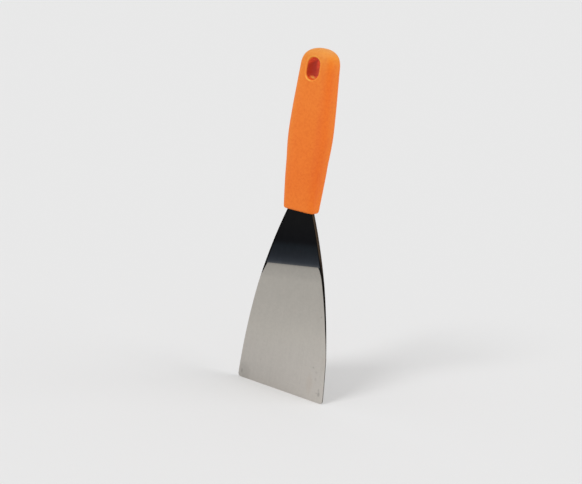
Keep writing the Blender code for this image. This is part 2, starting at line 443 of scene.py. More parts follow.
class NodeBench:
    """One material's or world's node tree, started empty."""

    def __init__(self, tree: bpy.types.NodeTree) -> None:
        """Clear a tree and hold it."""
        self.tree = tree
        tree.nodes.clear()

    def node(
        self,
        kind: str,
        settings: Mapping[str, object] | None = None,
        sockets: Mapping[object, object] | None = None,
    ) -> bpy.types.Node:
        """Add one node.

        Args:
            kind: The node's type.
            settings: Its properties, and under "stops" a ramp's places and colours.
            sockets: Values or links for its inputs, by name or number.

        Returns:
            The node.
        """
        node = self.tree.nodes.new(kind)
        for name, value in (settings or {}).items():
            if name == "stops":
                self._set_stops(node.color_ramp, value)
            else:
                setattr(node, name, value)
        for key, value in (sockets or {}).items():
            if isinstance(value, Signal):
                value = value.socket
            if isinstance(value, bpy.types.NodeSocket):
                self.tree.links.new(value, node.inputs[key])
            else:
                node.inputs[key].default_value = value
        return node

    @staticmethod
    def _set_stops(ramp: bpy.types.ColorRamp, stops: Stops) -> None:
        """Give a colour ramp its stops.

        Args:
            ramp: The new ramp.
            stops: Places from 0 to 1, rising, each with its colour.
        """
        ramp.elements.remove(ramp.elements[-1])
        ramp.elements[0].position, ramp.elements[0].color = stops[0]
        for place, colour in stops[1:]:
            ramp.elements.new(place).color = colour

    def signal(self, node: bpy.types.Node, output: str | int = 0) -> Signal:
        """One output of a node as a signal."""
        return Signal(self, node.outputs[output])

    def place(self) -> bpy.types.NodeSocket:
        """The object's own coordinates, in metres."""
        return self.node("ShaderNodeTexCoord").outputs["Object"]

    def axes(self) -> tuple[Signal, Signal, Signal]:
        """The place on the object along X, Y and Z."""
        parts = self.node("ShaderNodeSeparateXYZ", None, {0: self.place()})
        return self.signal(parts, 0), self.signal(parts, 1), self.signal(parts, 2)

    def noise(self, grain: Grain) -> Signal:
        """Smooth noise between 0 and 1.

        Args:
            grain: Its density and its finer layers.

        Returns:
            The noise.
        """
        mapping = self.node("ShaderNodeMapping", None, {0: self.place(), "Scale": grain.density})
        sockets = {
            "Vector": mapping.outputs[0],
            "Scale": 1.0,
            "Detail": grain.layers,
            "Roughness": grain.layer_strength,
        }
        return self.signal(self.node("ShaderNodeTexNoise", {"noise_dimensions": "3D"}, sockets))

    def blend(self, share: object, first: object, second: object, how: str = "MIX") -> bpy.types.NodeSocket:
        """Mix two colours by a share.

        Args:
            share: How much of the second colour.
            first: The first colour or socket.
            second: The second colour or socket.
            how: The blend mode.

        Returns:
            The mixed colour.
        """
        settings = {"data_type": "RGBA", "blend_type": how}
        node = self.node("ShaderNodeMix", settings, {0: share, 6: first, 7: second})
        return node.outputs[2]

    def shaded(self, tone: bpy.types.NodeSocket, shade: Signal) -> bpy.types.NodeSocket:
        """A colour made lighter or darker by a signal."""
        grey = self.node("ShaderNodeCombineColor", None, {0: shade, 1: shade, 2: shade}).outputs[0]
        return self.blend(1.0, tone, grey, "MULTIPLY")

    def ramp(self, along: Signal, stops: Stops) -> bpy.types.NodeSocket:
        """A colour that runs through its stops as a signal goes from 0 to 1."""
        return self.node("ShaderNodeValToRGB", {"stops": stops}, {"Fac": along}).outputs["Color"]

    def bump(self, height: Signal, depth: float) -> bpy.types.NodeSocket:
        """The normal of a surface that a height signal raises by up to a depth."""
        sockets = {"Height": height, "Distance": depth, "Strength": 1.0}
        return self.node("ShaderNodeBump", None, sockets).outputs["Normal"]


def new_material(name: str) -> tuple[bpy.types.Material, NodeBench]:
    """A material with an empty node tree.

    Args:
        name: What it is called.

    Returns:
        The material and its bench.
    """
    material = bpy.data.materials.new(name)
    material.use_nodes = True
    return material, NodeBench(material.node_tree)


def surface(bench: NodeBench, sockets: Mapping[object, object]) -> None:
    """Finish a material with one Principled shader."""
    shader = bench.node("ShaderNodeBsdfPrincipled", None, sockets)
    bench.node("ShaderNodeOutputMaterial", None, {"Surface": shader.outputs[0]})


# Finishes
#
# Spans are in metres, apart from shares and levels. One named across, through or up fades along X, Y or Z,
# and one named below fades down from the grind line. Rolls, borders and wedges fade in from the blade's long
# sides, the rim and the wall out from the slot. A value named after a noise says how much that noise changes
# the shade, the roughness or the stain.


@dataclass(frozen=True)
class SlotFrame:
    """Where the hanging slot is: its middle across and up, its height and its width, with round ends."""

    across: float
    middle: float
    height: float
    width: float

    @property
    def radius(self) -> float:
        """The radius of its ends."""
        return self.width / 2

    @property
    def rise(self) -> float:
        """Half the length of its straight sides."""
        return (self.height - self.width) / 2

    def off_wall(self, x: Signal, z: Signal) -> Signal:
        """How far a place is outside the slot's wall, in metres."""
        aside, past = x - self.across, (abs(z - self.middle) - self.rise).at_least(0.0)
        return (aside * aside + past * past) ** 0.5 - self.radius


@dataclass(frozen=True)
class OrangeMoulding:
    """Orange moulded plastic: a fine spark-eroded skin, faint flow marks, painted light and shade on dome,
    sides and slot.
    """

    slot: SlotFrame
    bottom: float
    length: float
    # Up the handle: the lighter, yellower top stops are painted light on the dome from above.
    tones: Stops = (
        (0.05, (0.868, 0.195, 0.016, 1.0)),
        (0.19, (0.858, 0.185, 0.015, 1.0)),
        (0.48, (0.858, 0.194, 0.017, 1.0)),
        (0.75, (0.858, 0.208, 0.020, 1.0)),
        (0.86, (0.861, 0.218, 0.021, 1.0)),
        (0.91, (0.861, 0.238, 0.026, 1.0)),
        (0.95, (0.820, 0.259, 0.031, 1.0)),
        (0.99, (0.816, 0.312, 0.051, 1.0)),
    )
    skin: Grain = Grain.even(1 / 0.00035)
    skin_depth: float = 0.000018
    mottle: Grain = Grain.even(1 / 0.0016)
    flow: Grain = Grain.even(1 / 0.018, 2.0, 0.5)
    stain: float = 0.30
    mottle_stain: float = 2.4
    flow_stain: float = 0.8
    light_tint: Colour = (1.02, 1.06, 1.10, 1.0)
    deep_tint: Colour = (0.93, 0.80, 0.70, 1.0)
    roughness: float = 0.58
    mottle_roughness: float = 0.10
    skin_roughness: float = 0.12
    specular: float = 0.30

    # Painted shade: the front of the handle's right side is deeper and redder.
    corner_across: Span = (0.0075, 0.0140)
    corner_through: Span = (0.0040, -0.0040)
    painted_corner_shade: Colour = (0.975, 0.855, 0.94, 1.0)
    # Painted light: the left part of the handle is lighter and yellower.
    left_across: Span = (-0.0060, -0.0110)
    painted_left_light: Colour = (1.02, 1.10, 1.00, 1.0)

    # Painted light: the handle's right side face, out to its edge, is warmer and more saturated.
    side_half_width: float = 0.0123
    side_swell: float = 0.0035
    side_swell_up: Span = (0.1290, 0.1800)
    side_waist: float = 0.0028
    side_waist_up: Span = (0.1850, 0.2320)
    side_share: Span = (0.66, 0.95)
    side_through: Span = (-0.0090, -0.0010)
    painted_side_light: Colour = (1.06, 1.05, 0.30, 1.0)
    # Painted shade: high up, below the dome, the right side is darker and redder.
    high_side_start: Span = (0.1950, 0.2120)
    high_side_end: Span = (0.2360, 0.2280)
    painted_high_side_shade: Colour = (1.00, 0.90, 0.95, 1.0)

    # Painted highlight: a light band round the slot's rim.
    rim_start: Span = (0.0001, 0.0006)
    rim_end: Span = (0.0016, 0.0010)
    painted_rim_highlight: Colour = (1.06, 1.28, 1.48, 1.0)
    # Painted highlight: a brighter spot on the rim's lower left, on the front face only.
    lit_rim: Spot = Spot(-0.0026, 0.2188, 0.0044, 0.0040)
    front_through: Span = (0.0, -0.0020)
    painted_low_rim_highlight: Colour = (1.06, 1.50, 2.00, 1.0)

    # Painted shade: the slot's walls are dark red.
    wall: Span = (0.0002, 0.0)
    painted_slot_shade: Colour = (0.625, 0.068, 0.010, 1.0)
    # Painted light: the slot's bottom, its top and its back part are a lighter red, as light from the back
    # opening.
    painted_slot_light: Colour = (0.960, 0.132, 0.019, 1.0)
    low_end_up: Span = (0.2214, 0.2200)
    high_end_up: Span = (0.2290, 0.2318)
    high_end_slope: float = 0.35
    deep_through: Span = (0.0035, 0.0065)
    deep_share: float = 0.35
    deep_up: Span = (0.2245, 0.2275)
    # A painted pool of light: a bright patch on the slot's floor.
    floor_up: Span = (0.2216, 0.2200)
    slot_floor_light_patch: Spot = Spot(-0.0026, -0.0010, 0.0023, 0.0031)
    painted_slot_floor_light: Colour = (1.000, 0.620, 0.115, 1.0)

    def make(self) -> bpy.types.Material:
        """Mix the finish.

        Returns:
            The material.
        """
        material, bench = new_material("orange_moulding")
        skin, mottle, flow = bench.noise(self.skin), bench.noise(self.mottle), bench.noise(self.flow)
        stain = self.stain + mottle.swing(self.mottle_stain) + flow.swing(self.flow_stain)
        tint = bench.blend(stain.at_least(0.0).at_most(1.0), self.light_tint, self.deep_tint)
        roughness = self.roughness + mottle.swing(self.mottle_roughness) + skin.swing(self.skin_roughness)
        surface(
            bench,
            {
                "Base Color": bench.blend(1.0, self.tone(bench), tint, "MULTIPLY"),
                "Roughness": roughness,
                "Specular IOR Level": self.specular,
                "Normal": bench.bump(skin, self.skin_depth),
            },
        )
        return material

    def tone(self, bench: NodeBench) -> bpy.types.NodeSocket:
        """The colour over the handle, with its painted light and shade, before its mottling.

        Args:
            bench: The material's tree.

        Returns:
            The colour.
        """
        x, y, z = bench.axes()
        off_wall = self.slot.off_wall(x, z)
        # The mask of the right side face, which takes painted light and shade.
        half_width = self.side_half_width + z.fade(self.side_swell_up) * self.side_swell
        half_width = half_width - z.fade(self.side_waist_up) * self.side_waist
        side = (x / half_width).fade(self.side_share) * y.fade(self.side_through)
        # A band round the slot's rim, which takes a painted highlight.
        rim = off_wall.fade(self.rim_start) * off_wall.fade(self.rim_end)
        # Painted light and shade on the handle's faces and the slot's rim, each a mask and its tint.
        painted_tints = (
            (x.fade(self.corner_across) * y.fade(self.corner_through), self.painted_corner_shade),
            (x.fade(self.left_across), self.painted_left_light),
            (side, self.painted_side_light),
            (side * z.fade(self.high_side_start) * z.fade(self.high_side_end), self.painted_high_side_shade),
            (rim, self.painted_rim_highlight),
            (rim * self.lit_rim.on(x, z) * y.fade(self.front_through), self.painted_low_rim_highlight),
        )
        tone = bench.ramp((z - self.bottom) / self.length, self.tones)
        for share, tint in painted_tints:
            tone = bench.blend(share, tone, tint, "MULTIPLY")
        # Painted shade on the slot's walls, turning to painted light at its ends and towards the back.
        inside = off_wall.fade(self.wall)
        ends = z.fade(self.low_end_up).at_least((z - y * self.high_end_slope).fade(self.high_end_up))
        deep = y.fade(self.deep_through) * (self.deep_share + z.fade(self.deep_up) * (1 - self.deep_share))
        tone = bench.blend(inside, tone, bench.blend(ends.at_least(deep), self.painted_slot_shade, self.painted_slot_light))
        # A painted pool of light on the slot's floor.
        patch = inside * z.fade(self.floor_up) * self.slot_floor_light_patch.on(x, y)
        return bench.blend(patch, tone, self.painted_slot_floor_light)


@dataclass(frozen=True)
class GrindFrame:
    """Where the grind line runs: its height at the middle and its slant."""

    height: float
    slant: float

    def above(self, x: Signal, z: Signal) -> Signal:
        """How far a place is above the grind line, square to it, in metres."""
        return z * math.cos(self.slant) - x * math.sin(self.slant) - self.height * math.cos(self.slant)


@dataclass(frozen=True)
class SideFrame:
    """Where the blank's long sides run: its widths at the neck and the edge, and the curve between them."""

    neck_width: float
    width: float
    length: float
    curve: tuple[float, ...]

    def inside(self, x: Signal, z: Signal) -> tuple[Signal, Signal]:
        """How far a place is inside the left side and the right side, in metres."""
        half = mix(self.neck_width / 2, self.width / 2, bezier(self.curve, z / self.length))
        return half + x, half - x


@dataclass(frozen=True)
class DarkNeck:
    """The unground steel: dark polished scale, black where rolled, with a painted blue-grey reflection by the
    grind line.
    """

    line: GrindFrame
    sides: SideFrame
    start: float = -0.0020
    reach: float = 0.0380
    # Up from the grind line: the blue-grey band just above it is a painted reflection, the rest the dark
    # scale.
    tones: Stops = (
        (0.000, (0.0100, 0.0105, 0.0115, 1.0)),
        (0.037, (0.0150, 0.0165, 0.0190, 1.0)),
        (0.053, (0.1010, 0.1060, 0.1160, 1.0)),
        (0.092, (0.0546, 0.0618, 0.0731, 1.0)),
        (0.120, (0.0425, 0.0487, 0.0592, 1.0)),
        (0.190, (0.0300, 0.0345, 0.0425, 1.0)),
        (0.270, (0.0234, 0.0270, 0.0330, 1.0)),
        (0.390, (0.0171, 0.0208, 0.0252, 1.0)),
        (0.475, (0.0107, 0.0112, 0.0130, 1.0)),
        (0.530, (0.0102, 0.0106, 0.0120, 1.0)),
        (0.950, (0.0136, 0.0135, 0.0138, 1.0)),
    )
    left_roll: Span = (0.0019, 0.0013)
    right_roll: Span = (0.0010, 0.0005)
    rolled_tone: Colour = (0.0060, 0.0060, 0.0062, 1.0)
    edge_tint: Colour = (0.20, 0.20, 0.21, 1.0)
    shade: float = 0.86
    streaks: Grain = Grain((2600, 2600, 55))
    streak_shade: float = 0.35
    streak_depth: float = 0.000002
    cloud: Grain = Grain.even(240)
    cloud_shade: float = 0.30
    roughness: float = 0.34
    cloud_roughness: float = 0.12

    def make(self) -> bpy.types.Material:
        """Mix the finish.

        Returns:
            The material.
        """
        material, bench = new_material("dark_neck_steel")
        x, _, z = bench.axes()
        tone = bench.ramp((self.line.above(x, z) - self.start) / self.reach, self.tones)
        left, right = self.sides.inside(x, z)
        rolled = left.fade(self.left_roll).at_least(right.fade(self.right_roll))
        tone = bench.blend(rolled, tone, self.rolled_tone)
        streaks, cloud = bench.noise(self.streaks), bench.noise(self.cloud)
        shade = self.shade + streaks.swing(self.streak_shade) + cloud.swing(self.cloud_shade)
        surface(
            bench,
            {
                "Base Color": bench.shaded(tone, shade),
                "Metallic": 1.0,
                "Specular Tint": self.edge_tint,
                "Roughness": self.roughness + cloud.swing(self.cloud_roughness),
                "Normal": bench.bump(streaks, self.streak_depth),
            },
        )
        return material


@dataclass(frozen=True)
class GroundSteel:
    """The hollow grind: warm pale steel with fine lengthwise grain, small specks, dark scaly borders and
    painted reflection.
    """

    line: GrindFrame
    sides: SideFrame
    reach: float = 0.0900
    # Down from the grind line: the darkening up towards the line is a painted reflection.
    tones: Stops = (
        (0.000, (0.284, 0.270, 0.246, 1.0)),
        (0.011, (0.363, 0.345, 0.315, 1.0)),
        (0.022, (0.392, 0.372, 0.339, 1.0)),
        (0.078, (0.422, 0.401, 0.366, 1.0)),
        (0.122, (0.462, 0.439, 0.400, 1.0)),
        (0.267, (0.472, 0.448, 0.409, 1.0)),
        (0.450, (0.506, 0.481, 0.439, 1.0)),
        (0.540, (0.532, 0.505, 0.461, 1.0)),
        (0.660, (0.548, 0.520, 0.479, 1.0)),
        (0.930, (0.556, 0.527, 0.491, 1.0)),
    )
    warm_patches: tuple[Spot, ...] = (
        Spot(0.0243, 0.0115, 0.0035, 0.0090, 0.30),
        Spot(0.0345, 0.0300, 0.0035, 0.0080, 0.15),
    )
    warm_tone: Colour = (0.500, 0.430, 0.370, 1.0)
    marks: tuple[Spot, ...] = (
        Spot(-0.0350, 0.0046, 0.0011, 0.0024, 0.50),
        Spot(-0.0355, 0.0080, 0.0012, 0.0040, 0.15),
        Spot(-0.0330, 0.0050, 0.0070, 0.0085, 0.15),
        Spot(0.0331, 0.0063, 0.0013, 0.0022, 0.42),
        Spot(0.0327, 0.0091, 0.0006, 0.0016, 0.25),
        Spot(0.0314, 0.0066, 0.0012, 0.0007, 0.20),
        Spot(0.0262, 0.0239, 0.0008, 0.0008, 0.35),
        Spot(0.0292, 0.0211, 0.0012, 0.0012, 0.15),
        Spot(0.0291, 0.0160, 0.0012, 0.0018, 0.15),
        Spot(0.0279, 0.0602, 0.0006, 0.0008, 0.35),
    )
    mark_share: float = 0.5
    specks: Grain = Grain.even(900, 2.0, 0.5)
    speck_level: Span = (0.70, 0.80)
    speck_strength: float = 0.30
    stain_tone: Colour = (0.180, 0.170, 0.150, 1.0)

    border: Span = (0.00050, 0.00025)
    border_up: Span = (0.035, 0.055)
    left_wedge: Span = (0.0027, 0.0022)
    left_taper: float = 0.24
    right_wedge: Span = (0.0013, 0.0008)
    right_taper: float = 0.12
    scale_tone: Colour = (0.012, 0.011, 0.010, 1.0)

    # Painted reflection: the grind is lighter towards +X and darker towards -X, more so further below the
    # line.
    rightward_shade: float = 1.3
    rightward_below: Span = (0.020, 0.070)
    low_rightward_shade: float = 1.0
    low_rightward_below: Span = (0.065, 0.085)
    streaks: Grain = Grain((3200, 3200, 45), 4.0, 0.65)
    streak_shade: float = 0.14
    streak_depth: float = 0.0000025
    bands: Grain = Grain((420, 420, 9), 2.0, 0.5)
    band_shade: float = 0.03
    cloud: Grain = Grain.even(130)
    cloud_shade: float = 0.06
    mottle: Grain = Grain.even(480, 3.0, 0.7)
    mottle_shade: float = 0.16
    roughness: float = 0.40
    streak_roughness: float = 0.16
    cloud_roughness: float = 0.08

    def make(self) -> bpy.types.Material:
        """Mix the finish.

        Returns:
            The material.
        """
        material, bench = new_material("ground_steel")
        x, _, z = bench.axes()
        below = self.line.above(x, z) * -1.0
        streaks, bands = bench.noise(self.streaks), bench.noise(self.bands)
        cloud, mottle = bench.noise(self.cloud), bench.noise(self.mottle)
        tone = bench.ramp(below / self.reach, self.tones)
        for patch in self.warm_patches:
            tone = bench.blend(patch.on(x, z), tone, self.warm_tone)
        stain = bench.noise(self.specks).fade(self.speck_level) * self.speck_strength
        for mark in self.marks:
            stain = stain.at_least(mark.on(x, z) * (self.mark_share + cloud))
        tone = bench.blend(stain.at_most(1.0), tone, self.stain_tone)
        tone = bench.blend(self.scale(x, z, below), tone, self.scale_tone)
        # Painted reflection, lighter towards +X.
        rightward = below.fade(self.rightward_below) * self.rightward_shade
        rightward = rightward + below.fade(self.low_rightward_below) * self.low_rightward_shade
        shade = 1.0 + x * rightward + streaks.swing(self.streak_shade) + bands.swing(self.band_shade)
        shade = shade + cloud.swing(self.cloud_shade) + mottle.swing(self.mottle_shade)
        roughness = self.roughness + streaks.swing(self.streak_roughness) + cloud.swing(self.cloud_roughness)
        surface(
            bench,
            {
                "Base Color": bench.shaded(tone, shade),
                "Metallic": 1.0,
                "Roughness": roughness,
                "Normal": bench.bump(streaks, self.streak_depth),
            },
        )
        return material

    def scale(self, x: Signal, z: Signal, below: Signal) -> Signal:
        """Where dark scale is left: a thin line along the right side, and a wedge under each end of the line.

        Args:
            x: The place across the blade.
            z: The place up the blade.
            below: How far the place is below the grind line.

        Returns:
            1 on the scale and 0 off it.
        """
        left, right = self.sides.inside(x, z)
        line = right.fade(self.border) * z.fade(self.border_up)
        right_wedge = (right + below * self.right_taper).fade(self.right_wedge)
        left_wedge = (left + below * self.left_taper).fade(self.left_wedge)
        return line.at_least(right_wedge).at_least(left_wedge)


@dataclass(frozen=True)
class BlankSide:
    """The blank's narrow sides: painted brown reflection at the neck, black beside the grind, bare steel at
    the edge.
    """

    # Painted reflection: a brown tone up the neck, first on its back part.
    neck: Colour = (0.064, 0.046, 0.033, 1.0)
    neck_up: Span = (0.084, 0.100)
    neck_through: Span = (-0.0008, -0.0002)
    whole_neck_up: Span = (0.095, 0.103)
    middle: Colour = (0.011, 0.010, 0.009, 1.0)
    # Painted light: the back of the black middle is lighter.
    painted_light_back: Colour = (0.040, 0.034, 0.028, 1.0)
    back_through: Span = (-0.0002, 0.0012)
    bare: Colour = (0.170, 0.160, 0.140, 1.0)
    bare_end_up: Span = (0.030, 0.058)
    edge_tint: Colour = (0.30, 0.29, 0.28, 1.0)
    marks: Grain = Grain((900, 900, 260))
    mark_shade: float = 0.5
    mark_depth: float = 0.000006
    roughness: float = 0.45
    mark_roughness: float = 0.2

    def make(self) -> bpy.types.Material:
        """Mix the finish.

        Returns:
            The material.
        """
        material, bench = new_material("blank_side_steel")
        _, y, z = bench.axes()
        # Painted light on the back, then the bare end, then the painted brown reflection up the neck.
        tone = bench.blend(y.fade(self.back_through), self.middle, self.painted_light_back)
        tone = bench.blend(z.fade(self.bare_end_up), self.bare, tone)
        brown = z.fade(self.neck_up) * y.fade(self.neck_through).at_least(z.fade(self.whole_neck_up))
        tone = bench.blend(brown, tone, self.neck)
        marks = bench.noise(self.marks)
        surface(
            bench,
            {
                "Base Color": bench.shaded(tone, 1.0 + marks.swing(self.mark_shade)),
                "Metallic": 1.0,
                "Specular Tint": self.edge_tint,
                "Roughness": self.roughness + marks.swing(self.mark_roughness),
                "Normal": bench.bump(marks, self.mark_depth),
            },
        )
        return material


@dataclass(frozen=True)
class PaleFloor:
    """The plain pale sweep that the scraper stands on."""

    tone: Colour = (0.806, 0.806, 0.806, 1.0)

    def make(self) -> bpy.types.Material:
        """Mix the finish.

        Returns:
            The material.
        """
        material, bench = new_material("pale_floor")
        surface(bench, {"Base Color": self.tone, "Roughness": 1.0, "Specular IOR Level": 0.0})
        return material


# Pieces


@dataclass
class Blade:
    """The steel blade and its tang: one blank, rolled along its long sides, ground hollow on both faces."""

    width: float = 0.0760
    length: float = 0.1290
    neck_width: float = 0.0210
    thickness: float = 0.0032
    corner_radius: float = 0.0023
    worn_in: float = 0.00105
    worn_height: float = 0.0310
    worn_power: float = 0.7
    side_curve: tuple[float, ...] = (1.0, 0.931, 0.637, 0.0)
    roll_width: float = 0.0023
    roll_depth: float = 0.0006
    back_roll_width: float = 0.0014
    back_roll_depth: float = 0.0006
    edge_thickness: float = 0.0008
    grind_height: float = 0.09075
    grind_run_out: float = 0.0280
    grind_slant: float = math.radians(8.2)
    tang_length: float = 0.0640
    tang_width: float = 0.0140
    tang_end_radius: float = 0.0040
    shoulder_length: float = 0.0100
    hole_radius: float = 0.0030
    hole_shares: tuple[float, ...] = (0.42, 0.76)
    overrun: float = 0.0040
    roll_steps: int = 8
    corner_steps: int = 6
    side_steps: int = 48
    shoulder_steps: int = 10
    tang_end_steps: int = 8
    grind_steps: int = 32
    hole_sides: int = 48
    side_slope: float = 0.45
    smooth_angle: float = math.radians(28)

    def half_width(self, height: float) -> float:
        """Half the blank's width at a height between the edge and the handle's mouth."""
        share = bezier(self.side_curve, height / self.length)
        return mix(self.neck_width, self.width, share) / 2

    def worn(self, height: float) -> float:
        """How far the right side has been worn in at a height."""
        return self.worn_in * max(1 - height / self.worn_height, 0) ** self.worn_power

    def blade_rows(self) -> list[Pair]:
        """Heights and half-widths from the rounded lower corners up to the handle's mouth.

        Returns:
            The rows, rising.
        """
        rows = []
        for angle in quarter_turn(self.corner_steps):
            height = self.corner_radius * (1 - math.cos(angle))
            inset = self.corner_radius * (1 - math.sin(angle))
            rows.append((height, self.half_width(self.corner_radius) - inset))
        for share in steps(self.side_steps)[1:]:
            height = mix(self.corner_radius, self.length, share)
            rows.append((height, self.half_width(height)))
        return rows

    def tang_rows(self, extra: float = 0.0) -> list[Pair]:
        """Heights and half-widths of the shoulders, the tang and its rounded end.

        Args:
            extra: How much longer than the tang the rows reach.

        Returns:
            The rows, rising.
        """
        flare = (self.width - self.neck_width) / 2 * (self.side_curve[-2] - self.side_curve[-1])
        lead = self.neck_width / 2 - flare * self.shoulder_length / self.length
        handles = (self.neck_width / 2, lead, self.tang_width / 2, self.tang_width / 2)
        rows = []
        for share in steps(self.shoulder_steps)[1:]:
            rows.append((self.length + self.shoulder_length * share, bezier(handles, share)))
        end = self.length + self.tang_length + extra
        for angle in quarter_turn(self.tang_end_steps):
            height = end - self.tang_end_radius * (1 - math.sin(angle))
            rows.append((height, self.tang_width / 2 - self.tang_end_radius * (1 - math.cos(angle))))
        return rows

    def bar(self, name: str, rows: Sequence[Pair], grow: float = 0.0) -> bpy.types.Object:
        """Draw a flat bar up through rows of heights and half-widths, its long edges rolled over in front.

        Args:
            name: What the bar is called.
            rows: The heights and half-widths, rising.
            grow: How much larger than the blank it is, all round.

        Returns:
            The closed bar.
        """
        count = 4 * self.roll_steps
        height, half = rows[0]
        piece = Workpiece(
            name,
            bpy.ops.mesh.primitive_circle_add,
            vertices=count,
            radius=self.roll_width / math.cos(math.pi / count),
            location=(0, 0, height),
            rotation=(0, 0, math.pi / count),
        )
        rolls = {
            Side.FRONT: (self.roll_width, self.roll_depth),
            Side.BACK: (self.back_roll_width, self.back_roll_depth),
        }
        for side, (wide, deep) in rolls.items():
            piece.pick(lambda place: place.y * side.value > 0)
            piece.resize((wide / self.roll_width, deep / self.roll_width, 1), (0, 0, height))
            for sign in (-1, 1):
                piece.pick(lambda place: place.y * side.value > 0 and place.x * sign > 0)
                across = sign * (half + grow - wide) - (self.worn(height) if sign > 0 else 0)
                piece.shift((across, side.value * (self.thickness / 2 + grow - deep), 0))
        piece.pick_level(height)
        piece.cap()
        for next_height, next_half in rows[1:]:
            piece.pick_level(height)
            piece.extrude((0, 0, next_height - height))
            for sign in (-1, 1):
                piece.pick(lambda place: place.x * sign > 0 and place.z > next_height - NEAR)
                regrown = self.worn(height) - self.worn(next_height) if sign > 0 else 0
                piece.shift((sign * (next_half - half) + regrown, 0, 0))
            height, half = next_height, next_half
        piece.pick_level(height)
        piece.cap()
        return piece.done()

    def grinding_cutter(self, side: Side, finish: bpy.types.Material) -> bpy.types.Object:
        """The space that the grinding wheel takes from one face.

        Args:
            side: Which face.
            finish: The finish that the wheel leaves.

        Returns:
            The cutter, turned to the grind line's slant.
        """
        sign = side.value
        line = self.grind_height * math.cos(self.grind_slant)
        reach = line - self.grind_run_out
        depth = (self.thickness - self.edge_thickness) / 2
        radius = (reach**2 + depth**2) / (2 * depth)
        surface_y = sign * self.edge_thickness / 2
        piece = Workpiece(
            f"grinding_cutter_{side.name.lower()}",
            bpy.ops.mesh.primitive_plane_add,
            size=2 * self.width,
            location=(0, surface_y, self.grind_run_out - self.width),
            rotation=(math.pi / 2, 0, 0),
        )
        piece.pick_level(self.grind_run_out)
        bpy.ops.mesh.spin(
            steps=self.grind_steps,
            angle=sign * math.asin((reach + self.overrun) / radius),
            center=(0, surface_y + sign * radius, self.grind_run_out),
            axis=(1, 0, 0),
        )
        bpy.ops.mesh.select_all(action="SELECT")
        piece.extrude((0, sign * (self.thickness + self.overrun), 0))
        cutter = piece.done()
        cutter.data.materials.append(finish)
        cutter.rotation_euler.y = -self.grind_slant
        make_active(cutter)
        bpy.ops.object.transform_apply(location=False, rotation=True, scale=False)
        return cutter

    def pins(self, name: str, radius: float) -> bpy.types.Object:
        """The pins that fill the tang's key holes.

        Args:
            name: What they are called.
            radius: Their radius.

        Returns:
            The pins as one object.
        """
        depth = self.thickness + self.overrun
        bodies = []
        for share in self.hole_shares:
            pin = Workpiece(
                name,
                bpy.ops.mesh.primitive_cylinder_add,
                vertices=self.hole_sides,
                radius=radius,
                depth=depth,
                location=(0, 0, self.length + self.tang_length * share),
                rotation=(math.pi / 2, 0, 0),
            )
            bodies.append(pin.done())
        make_active(bodies[0])
        for body in bodies:
            body.select_set(True)
        bpy.ops.object.join()
        return bpy.context.active_object

    def cavity_cutter(self, gap: float) -> bpy.types.Object:
        """The space that the neck and the tang take inside the handle, less the pegs through the key holes.

        Args:
            gap: The clearance all round.

        Returns:
            The cutter.
        """
        below = self.length - self.overrun
        rows = [(below, self.half_width(below)), (self.length, self.half_width(self.length))]
        cutter = self.bar("tang_cavity_cutter", rows + self.tang_rows(gap), gap)
        subtract(cutter, self.pins("key_pegs", self.hole_radius - gap))
        return cutter

    def model(self) -> bpy.types.Object:
        """Build the blade and dress it.

        Returns:
            The finished piece.
        """
        line = GrindFrame(self.grind_height, self.grind_slant)
        sides = SideFrame(self.neck_width, self.width, self.length, self.side_curve)
        ground = GroundSteel(line, sides).make()
        blade = self.bar("scraper_blade", self.blade_rows() + self.tang_rows())
        finishes = {
            BladeFinish.NECK: DarkNeck(line, sides).make(),
            BladeFinish.GROUND: ground,
            BladeFinish.SIDE: BlankSide().make(),
        }
        for finish in BladeFinish:
            blade.data.materials.append(finishes[finish])
        for side in Side:
            subtract(blade, self.grinding_cutter(side, ground))
        subtract(blade, self.pins("key_hole_cutter", self.hole_radius))
        clean_mesh(blade)
        self.dress_sides(blade)
        make_active(blade)
        bpy.ops.object.shade_smooth_by_angle(angle=self.smooth_angle)
        sharpen_borders(blade)
        return blade

    def dress_sides(self, blade: bpy.types.Object) -> None:
        """Give the blank's narrow sides their own finish, and the scraping edge the grind's.

        Args:
            blade: The blade, cut and ground.
        """
        for face in blade.data.polygons:
            if abs(face.normal.x) > self.side_slope:
                face.material_index = BladeFinish.SIDE.value
            elif face.normal.z < -self.side_slope:
                face.material_index = BladeFinish.GROUND.value


